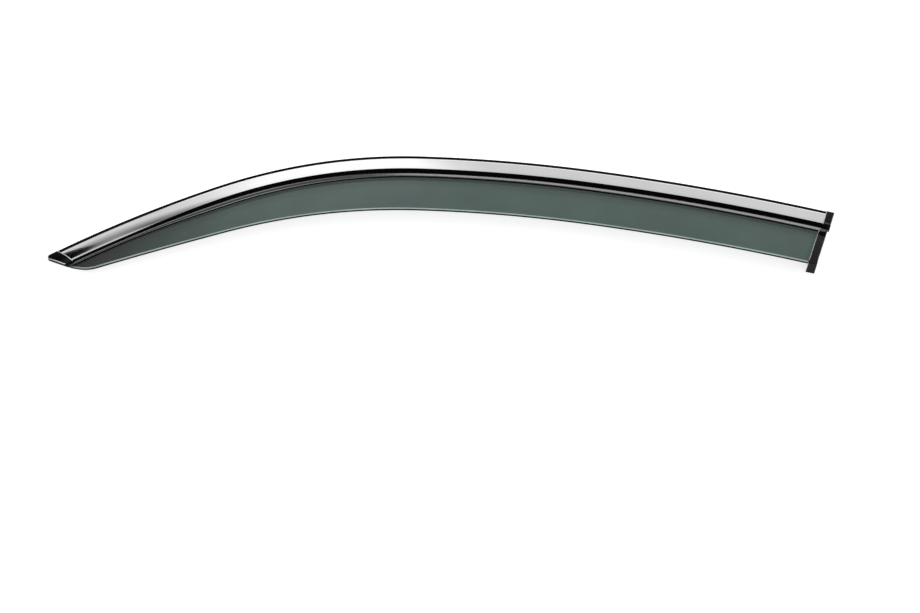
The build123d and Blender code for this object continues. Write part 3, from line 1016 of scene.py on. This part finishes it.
class DEFLECTOR_OT_stage(bpy.types.Operator):
    """Set the pale floor, the studio round it, the softbox and the camera"""

    bl_idname = "deflector.stage"
    bl_label = "Stage"

    def execute(self, context):
        settings = context.scene.deflector_stage
        context.scene.view_settings.view_transform = "Standard"
        self.floor(settings)
        self.world(context.scene, settings)
        self.lights(settings)
        self.camera(context.scene, settings)
        return {"FINISHED"}

    def floor(self, settings):
        mesh = bpy.data.meshes.new("floor")
        r = FLOOR_REACH
        corners = [(x, y, -FLOOR_DROP) for x, y in ((-r, -r), (r, -r), (r, r), (-r, r))]
        mesh.from_pydata(corners, [], [(0, 1, 2, 3)])
        made = placed("floor", mesh)
        mesh.materials.append(self.floor_finish(settings))

    def floor_finish(self, settings):
        """Pale floor that keeps shadows and reads white to the eye, in gloss and through glass."""
        material = bpy.data.materials.new("pale_floor")
        material.use_nodes = True
        tree = material.node_tree
        tree.nodes.clear()
        body = add_node(tree, "ShaderNodeBsdfDiffuse", (*settings.floor, 1.0)).outputs[0]
        path = tree.nodes.new("ShaderNodeLightPath").outputs
        seen = calc(tree, "MAXIMUM", path["Is Glossy Ray"], path["Is Transmission Ray"])
        seen = calc(tree, "MULTIPLY", seen, MIRRORED_GLOW)
        seen = calc(tree, "MAXIMUM", seen, calc(tree, "MULTIPLY", path["Is Camera Ray"], FLOOR_GLOW))
        glow = add_node(tree, "ShaderNodeEmission", (1.0, 1.0, 1.0, 1.0), seen)
        both = add_node(tree, "ShaderNodeAddShader", body, glow.outputs[0]).outputs[0]
        add_node(tree, "ShaderNodeOutputMaterial", both)
        return material

    def world(self, scene, settings):
        """Soft studio round the part: a pale wall behind, darker to the nose side."""
        world = bpy.data.worlds.new("studio")
        scene.world = world
        world.use_nodes = True
        tree = world.node_tree
        tree.nodes.clear()
        way = add_node(tree, "ShaderNodeTexCoord").outputs["Generated"]
        parts = add_node(tree, "ShaderNodeSeparateXYZ", way).outputs
        turn = calc(tree, "ARCTAN2", parts[0], parts[1])
        sweep = add_node(tree, "ShaderNodeMapRange", turn, -pi, pi, 0.0, 1.0).outputs[0]
        ramp = add_node(tree, "ShaderNodeValToRGB", sweep)
        self.wall_tones(ramp.color_ramp, settings.back_level)
        wall = add_node(tree, "ShaderNodeVectorMath", ramp.outputs[0], operation="SCALE")
        lift = calc(tree, "ARCSINE", parts[2])
        tree.links.new(self.wall_share(tree, turn, lift), wall.inputs["Scale"])
        path = tree.nodes.new("ShaderNodeLightPath").outputs
        tone = add_node(tree, "ShaderNodeMix", path["Is Camera Ray"], data_type="RGBA")
        tree.links.new(wall.outputs[0], tone.inputs[6])
        tone.inputs[7].default_value = (1.0, 1.0, 1.0, 1.0)
        glow = add_node(tree, "ShaderNodeBackground", tone.outputs[2], 1.0).outputs[0]
        add_node(tree, "ShaderNodeOutputWorld", glow)

    def wall_share(self, tree, turn, lift):
        """How bright the wall stays with height: dusk and a dark card to the nose side."""

        def fade(value, low, high, start, end):
            return add_node(tree, "ShaderNodeMapRange", value, low, high, start, end).outputs[0]

        def times(a, b):
            return calc(tree, "MULTIPLY", a, b)

        def between(value, low, high, soft):
            rise = fade(value, low - soft, low + soft, 0.0, 1.0)
            return times(rise, fade(value, high - soft, high + soft, 1.0, 0.0))

        dusk = times(fade(lift, *DUSK_RISE, 0.0, 1.0), fade(lift, *DUSK_FALL, 1.0, 0.0))
        dusk = times(dusk, fade(turn, *DUSK_SPAN, *DUSK_DEPTH))
        slant = calc(tree, "MULTIPLY_ADD", turn, -CARD_SLOPE, lift)
        card = fade(slant, CARD_START - CARD_EDGE, CARD_START, 0.0, 1.0)
        card = times(card, between(lift, *CARD_LIFT, CARD_LIFT_SOFT))
        card = times(card, between(turn, *CARD_SPAN, CARD_SPAN_SOFT))
        return times(calc(tree, "SUBTRACT", 1.0, dusk), calc(tree, "SUBTRACT", 1.0, card))

    def wall_tones(self, ramp, level):
        """Brightness round the part by compass angle from straight behind, clockwise to the rear end."""
        while len(ramp.elements) < len(WALL_STOPS):
            ramp.elements.new(0.5)
        for stop, (turn, _) in zip(ramp.elements, WALL_STOPS):
            stop.position = (turn + 180) / 360
        for stop, (_, tone) in zip(ramp.elements, WALL_STOPS):
            stop.color = (level * tone, level * tone, level * tone, 1.0)

    def lights(self, settings):
        """Overhead softbox that flat faces mirror to the camera."""
        lamp = bpy.data.lights.new("softbox", "AREA")
        lamp.shape = "RECTANGLE"
        lamp.size, lamp.size_y = BOX_SIZE
        lamp.energy = settings.key_power
        made = placed("softbox", lamp)
        made.location = BOX_PLACE
        made.rotation_euler = (BOX_TILT, 0.0, 0.0)

    def camera(self, scene, settings):
        lens = bpy.data.cameras.new("camera")
        lens.lens = settings.lens
        lens.sensor_width = SENSOR_WIDTH
        made = placed("camera", lens)
        lift = settings.elevation
        back = np.array([0.0, -cos(lift), sin(lift)])
        made.location = np.array(settings.aim) + back * settings.distance
        made.rotation_euler = (pi / 2 - lift, 0.0, 0.0)
        scene.camera = made


class DEFLECTOR_PT_sidebar(bpy.types.Panel):
    """Settings and build buttons of the deflector's pieces"""

    bl_idname = "DEFLECTOR_PT_sidebar"
    bl_label = "Window rain deflector"
    bl_space_type = "VIEW_3D"
    bl_region_type = "UI"
    bl_category = "Deflector"

    def draw(self, context):
        for operator in OPERATORS:
            self.layout.operator(operator.bl_idname)
        for settings in SETTINGS:
            group = getattr(context.scene, settings)
            box = self.layout.box()
            for name in group.__annotations__:
                box.prop(group, name)


SETTINGS = {
    "deflector_roof": RoofEdgeSettings,
    "deflector_shield": ShieldSettings,
    "deflector_strip": StripSettings,
    "deflector_cap": CapSettings,
    "deflector_tape": TapeSettings,
    "deflector_stage": StageSettings,
}
OPERATORS = (DEFLECTOR_OT_shield, DEFLECTOR_OT_strip, DEFLECTOR_OT_caps, DEFLECTOR_OT_tape, DEFLECTOR_OT_stage)
CLASSES = (*SETTINGS.values(), *OPERATORS, DEFLECTOR_PT_sidebar)


def register():
    for made in CLASSES:
        bpy.utils.register_class(made)
    for name, group in SETTINGS.items():
        setattr(bpy.types.Scene, name, PointerProperty(type=group))


def unregister():
    for name in SETTINGS:
        delattr(bpy.types.Scene, name)
    for made in reversed(CLASSES):
        bpy.utils.unregister_class(made)


def main():
    register()
    bpy.ops.deflector.shield()
    bpy.ops.deflector.strip()
    bpy.ops.deflector.caps()
    bpy.ops.deflector.tape()
    bpy.ops.deflector.stage()


if __name__ == "__main__":
    main()
